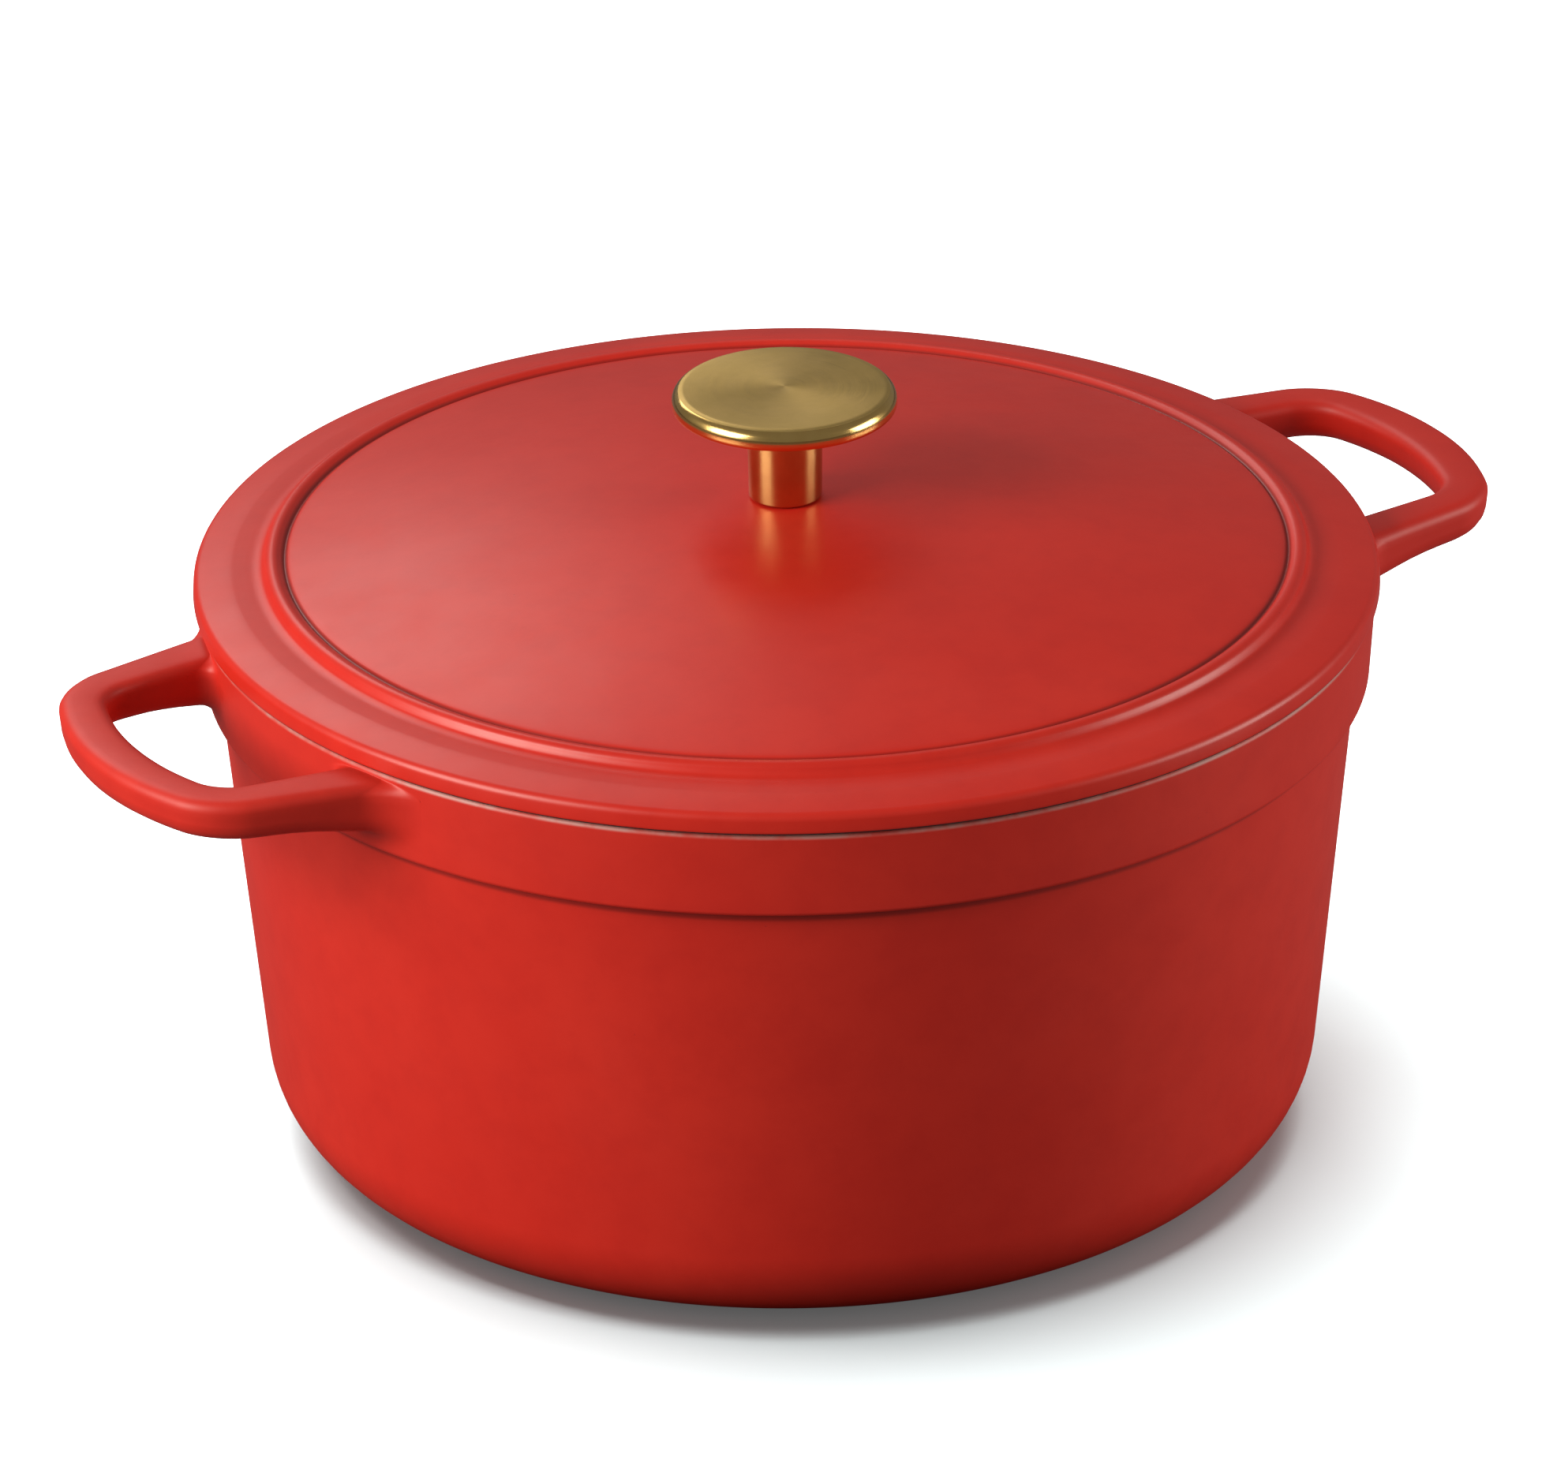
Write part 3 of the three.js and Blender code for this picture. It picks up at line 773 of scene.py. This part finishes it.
def lid_path():
    """The lid's closed outline: over the dome, the raised ring and the rim, and back underneath."""
    dome = [(LID_HOLE_RADIUS, CROWN)] + [(r, dome_height(r)) for r in range(9, 106, 4)]
    ring = flowing(
        [
            (105.6, dome_height(105.6)),
            (107.6, dome_height(107.6)),
            (108.9, dome_height(108.9) - 0.12),
            (GROOVE_RADIUS, 135.75),
            (110.6, 136.4),
            (111.6, 136.95),
            (112.8, 136.98),
            (113.75, 136.35),
            (114.3, 135.35),
            (115.0, 134.6),
            (116.4, 134.2),
            (118.5, 134.08),
            (120.2, LID_RIM_TOP),
            (122.0, LID_RIM_TOP - 0.12),
            (124.0, LID_RIM_TOP - 0.46),
        ]
    )
    bottom = rounded(
        [
            (123.0, LID_RIM_TOP - 0.27),
            (LID_RADIUS - 0.3, LID_RIM_EDGE, 1.9),
            (LID_RADIUS, LID_SEAT, 1.0),
            (SKIRT_OUTER, LID_SEAT, 0.8),
            (SKIRT_OUTER, LID_LOW.z, 0.8),
            (SKIRT_INNER, LID_LOW.z, 0.8),
            (SKIRT_INNER - 0.2, LID_SEAT + 1.7, 2.0),
            (*UNDER_RING, 3.0),
            *((r, dome_height(r) - LID_THICKNESS) for r in range(104, 15, -4)),
            (BOSS_RADIUS + 0.6, dome_height(12.5) - LID_THICKNESS, 1.0),
            (BOSS_RADIUS, BOSS_UNDERSIDE, 0.5),
            (LID_HOLE_RADIUS, BOSS_UNDERSIDE),
        ]
    )
    return dome + ring + bottom


def lid_finish(r, z):
    """The finish of the lid's face whose middle is at (r, z)."""
    # The dark bare finish also covers the lid's lower outside edge: painted shade for the gap between lid and
    # pot.
    if z < LID_SEAT + RIM_AND_GAP_SHADE_LAYER and r > RIM_INSIDE:
        return RIM
    inside = r < SKIRT_INNER + 0.4 and z < dome_height(r) - LID_SPLIT
    return CREAM if inside or z < LID_SEAT + SEAT_LAYER else RED


def add_nub(shell, ring_radius, angle):
    """A small dome-tipped bump under the lid, from just inside it."""
    root = dome_height(ring_radius) - LID_THICKNESS
    profile = [(r, root + z) for r, z in NUB_ROOT + NUB_TIP]
    first = len(shell.points)
    lathe(shell, profile, lambda r, z: CREAM, NUB_COLUMNS)
    x, y = ring_radius * math.cos(angle), ring_radius * math.sin(angle)
    for i in range(first, len(shell.points)):
        px, py, pz = shell.points[i]
        shell.points[i] = (px + x, py + y, pz)


def lid():
    shell = Shell()
    lathe(shell, lid_path(), lid_finish, closed=True)
    made = shell.build("lid_casting")
    nubs = Shell()
    for ring_radius, count in NUB_RINGS:
        for i in range(count):
            add_nub(nubs, ring_radius, 2 * math.pi * (i + 0.5) / count)
    combined(made, nubs.build("lid_nubs"), "UNION")
    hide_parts("lid")
    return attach(made, "lid")


# Knob and its fixing -------------------------------------------------------------------------------


def turned(name, node, path, finish_of, closed=False, columns=96):
    """A turned piece that stands for one CAD node of the lid."""
    shell = Shell()
    lathe(shell, path, finish_of, columns, closed)
    made = shell.build(name, sharp_degrees=40.0)
    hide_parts(node)
    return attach(made, "lid")


def knob_cap():
    low, high = cad_size("knob_cap")
    top, radius = high.z, high.x
    face_depth, face_inset = CAP_FACE
    path = rounded(
        [
            (0, low.z),
            (SPIGOT_RADIUS, low.z, 0.5),
            (SPIGOT_RADIUS, CAP_UNDERSIDE, 0.4),
            (CAP_NECK_RADIUS, CAP_UNDERSIDE, 4.0),
            (radius - 0.1, CAP_UNDERSIDE + 0.8, 1.4),
            (radius - 0.1, top - 0.5, 2.8),
            (16.0, top - 0.22, 12.0),
            (8.0, top - 0.06),
            (0, top),
        ],
        step_degrees=7.0,
    )
    return turned(
        "knob_disc",
        "knob_cap",
        path,
        lambda r, z: SATIN if z > top - face_depth and r < radius - face_inset else POLISHED,
        columns=160,
    )


def knob_stem():
    low, high = cad_size("knob_stem")
    recess_radius, recess_depth = GASKET_RECESS
    hole_radius, hole_floor = SPIGOT_HOLE
    path = rounded(
        [
            (STEM_BORE_RADIUS, low.z + recess_depth),
            (recess_radius, low.z + recess_depth, 0.2),
            (recess_radius, low.z, 0.15),
            (STEM_FOOT_RADIUS, low.z, 0.4),
            (high.x, high.z, 0.3),
            (hole_radius, high.z, 0.3),
            (hole_radius, hole_floor),
            (STEM_BORE_RADIUS, hole_floor),
        ]
    )
    return turned("knob_post", "knob_stem", path, lambda r, z: WARM, closed=True, columns=128)


def ring_piece(name, node, finish, inner, edge):
    low, high = cad_size(node)
    path = rounded(
        [
            (inner, low.z, edge),
            (high.x, low.z, edge),
            (high.x, high.z, edge),
            (inner, high.z, edge),
        ],
        step_degrees=22.0,
    )
    return turned(name, node, path, lambda r, z: finish, closed=True)


def knob_screw():
    low, high = cad_size("knob_screw")
    head_top = low.z + SCREW_HEAD_HEIGHT
    path = rounded(
        [
            (0, low.z),
            *((radius, low.z + up, rounding) for radius, up, rounding in SCREW_HEAD_CROWN),
            (SCREW_HEAD_RADIUS, head_top, 0.3),
            (SCREW_RADIUS, head_top, 0.3),
            (SCREW_RADIUS, high.z - 1.0),
            (SCREW_RADIUS - 1.0, high.z),
            (0, high.z),
        ]
    )
    made = turned("knob_bolt", "knob_screw", path, lambda r, z: STEEL)
    socket = Shell()
    ends = []
    corners = [math.radians(60 * k) for k in range(6)]
    for z in (low.z - 1.0, low.z + SOCKET_DEPTH):
        places = ((SOCKET_RADIUS * math.cos(a), SOCKET_RADIUS * math.sin(a)) for a in corners)
        ends.append([socket.point(x, y, z) for x, y in places])
    socket.bridge(*ends, STEEL)
    for end in ends:
        socket.face(end, STEEL)
    combined(made, socket.build("socket_cutter"), "DIFFERENCE")
    smooth(made, sharp_degrees=30.0)
    return made


def lock_washer():
    """A ring of square wire that is cut through at one place."""
    low, high = cad_size("lock_washer")
    half_gap, steps = 7.0, 72
    shell = Shell()
    loops = []
    for k in range(steps + 1):
        angle = math.radians(half_gap + (360 - 2 * half_gap) * k / steps)
        inset = 0.15 if k in (0, steps) else 0.0
        inner, outer = WASHER_HOLE_RADIUS + inset, high.x - inset
        bottom, top = low.z + inset, high.z - inset
        corners = rounded(
            [
                (inner, bottom, 0.2),
                (outer, bottom, 0.2),
                (outer, top, 0.2),
                (inner, top, 0.2),
            ],
            step_degrees=45.0,
        )
        loops.append([shell.point(r * math.cos(angle), r * math.sin(angle), z) for r, z in corners])
    for before, after in zip(loops, loops[1:]):
        shell.bridge(before, after, DARK_STEEL)
    shell.face(loops[0], DARK_STEEL)
    shell.face(loops[-1], DARK_STEEL)
    made = shell.build("spring_washer", sharp_degrees=30.0)
    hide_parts("lock_washer")
    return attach(made, "lid")


pot()
lid()
knob_cap()
knob_stem()
ring_piece("stem_gasket", "knob_gasket", SILICONE, GASKET_HOLE_RADIUS, 0.3)
ring_piece("plain_washer", "flat_washer", STEEL, WASHER_HOLE_RADIUS, 0.25)
knob_screw()
lock_washer()


# Stage, lights and camera --------------------------------------------------------------------------


FLOOR_SEEN = (0.68, 0.76, 0.76, 1)  # the floor's colour to the camera
FLOOR_GLOW = 0.085
FLOOR_REFLECTED = (0.062, 0.049, 0.049, 1)  # its colour to the pot
FLOOR_SIDE = 7.0  # metres from the middle to each side
FLOOR_DROP = 0.0003  # metres below the pot, so that the two don't share a plane
WORLD_STRENGTH = 0.19


def stage_material():
    """A pale floor that the camera sees brighter than the pot does."""
    material = bpy.data.materials.new("pale_floor")
    material.use_nodes = True
    tree = material.node_tree
    tree.nodes.clear()
    output = tree.nodes.new("ShaderNodeOutputMaterial")
    rays = tree.nodes.new("ShaderNodeLightPath")
    choose = tree.nodes.new("ShaderNodeMixShader")
    dim = tree.nodes.new("ShaderNodeBsdfDiffuse")
    dim.inputs["Color"].default_value = FLOOR_REFLECTED
    seen = tree.nodes.new("ShaderNodeBsdfDiffuse")
    seen.inputs["Color"].default_value = FLOOR_SEEN
    glow = tree.nodes.new("ShaderNodeEmission")
    glow.inputs["Strength"].default_value = FLOOR_GLOW
    both = tree.nodes.new("ShaderNodeAddShader")
    tree.links.new(seen.outputs[0], both.inputs[0])
    tree.links.new(glow.outputs[0], both.inputs[1])
    tree.links.new(rays.outputs["Is Camera Ray"], choose.inputs["Fac"])
    tree.links.new(dim.outputs[0], choose.inputs[1])
    tree.links.new(both.outputs[0], choose.inputs[2])
    tree.links.new(choose.outputs[0], output.inputs["Surface"])
    return material


def floor():
    mesh = bpy.data.meshes.new("floor")
    signs = ((-1, -1), (1, -1), (1, 1), (-1, 1))
    corners = [(x * FLOOR_SIDE, y * FLOOR_SIDE, -FLOOR_DROP) for x, y in signs]
    mesh.from_pydata(corners, [], [(0, 1, 2, 3)])
    mesh.materials.append(stage_material())
    made = bpy.data.objects.new("floor", mesh)
    bpy.context.scene.collection.objects.link(made)
    return made


CAMERA_AZIMUTH = -29.0  # degrees from -Y towards +X
CAMERA_ELEVATION = 25.22  # degrees
CAMERA_ROLL = -0.0125  # radians
CAMERA_DISTANCE = 2.600  # metres, as are the four below
CAMERA_ASIDE = -0.00100  # from the pot's axis to the point looked at, towards the camera's right
CAMERA_HEIGHT = 0.0890  # of the point looked at
LIGHT_DISTANCE = 1.9
LIGHT_HEIGHT = 0.09  # of the point that the lights face
CAMERA_SENSOR = 36.0  # millimetres
CAMERA_LENS = 270.73  # millimetres

# Name, azimuth and elevation from the camera's side in degrees, side in metres, watts.
POT_LIGHTS = (
    ("key_left", -62, 24, 1.1, 41),
    ("back_left", -152, 38, 1.0, 8),
    ("fill_right", 88, 12, 1.0, 21),
)
FLOOR_LIGHT = ("floor_light", -130, 77, 2.3, 158)


def direction(azimuth, elevation):
    """Azimuth 0 is the camera's side of the pot and +90 is its right."""
    a, e = math.radians(CAMERA_AZIMUTH + azimuth), math.radians(elevation)
    return Vector((math.sin(a) * math.cos(e), -math.cos(a) * math.cos(e), math.sin(e)))


def softbox(name, azimuth, elevation, side, power):
    """A square light that faces the pot."""
    data = bpy.data.lights.new(name, "AREA")
    data.shape = "RECTANGLE"
    data.size, data.size_y = side, side
    data.energy = power
    made = bpy.data.objects.new(name, data)
    bpy.context.scene.collection.objects.link(made)
    away = direction(azimuth, elevation)
    made.location = Vector((0, 0, LIGHT_HEIGHT)) + LIGHT_DISTANCE * away
    made.rotation_euler = away.to_track_quat("Z", "Y").to_euler()
    return made


def world_light(strength):
    world = bpy.data.worlds.new("studio")
    bpy.context.scene.world = world
    world.use_nodes = True
    light = world.node_tree.nodes["Background"]
    light.inputs["Color"].default_value = (1, 1, 1, 1)
    light.inputs["Strength"].default_value = strength


def limit_light(light, piece, state):
    """Makes a light fall on one piece only (INCLUDE), or on everything but that piece (EXCLUDE)."""
    chosen = bpy.data.collections.new(light.name + "_pieces")
    chosen.objects.link(piece)
    light.light_linking.receiver_collection = chosen
    chosen.collection_objects[0].light_linking.link_state = state


def camera():
    data = bpy.data.cameras.new("camera")
    data.sensor_width = CAMERA_SENSOR
    data.lens = CAMERA_LENS
    made = bpy.data.objects.new("camera", data)
    bpy.context.scene.collection.objects.link(made)
    back = direction(0, CAMERA_ELEVATION)
    level = direction(90, 0)
    upright = back.cross(level)
    right = level * math.cos(CAMERA_ROLL) + upright * math.sin(CAMERA_ROLL)
    up = back.cross(right)
    target = Vector((0, 0, CAMERA_HEIGHT)) + level * CAMERA_ASIDE
    turn = Matrix((right, up, back)).transposed().to_4x4()
    made.matrix_world = Matrix.Translation(target + back * CAMERA_DISTANCE) @ turn
    bpy.context.scene.camera = made


ground = floor()
camera()
world_light(WORLD_STRENGTH)
for pot_light in POT_LIGHTS:
    limit_light(softbox(*pot_light), ground, "EXCLUDE")
limit_light(softbox(*FLOOR_LIGHT), ground, "INCLUDE")
bpy.context.scene.view_settings.view_transform = "Standard"
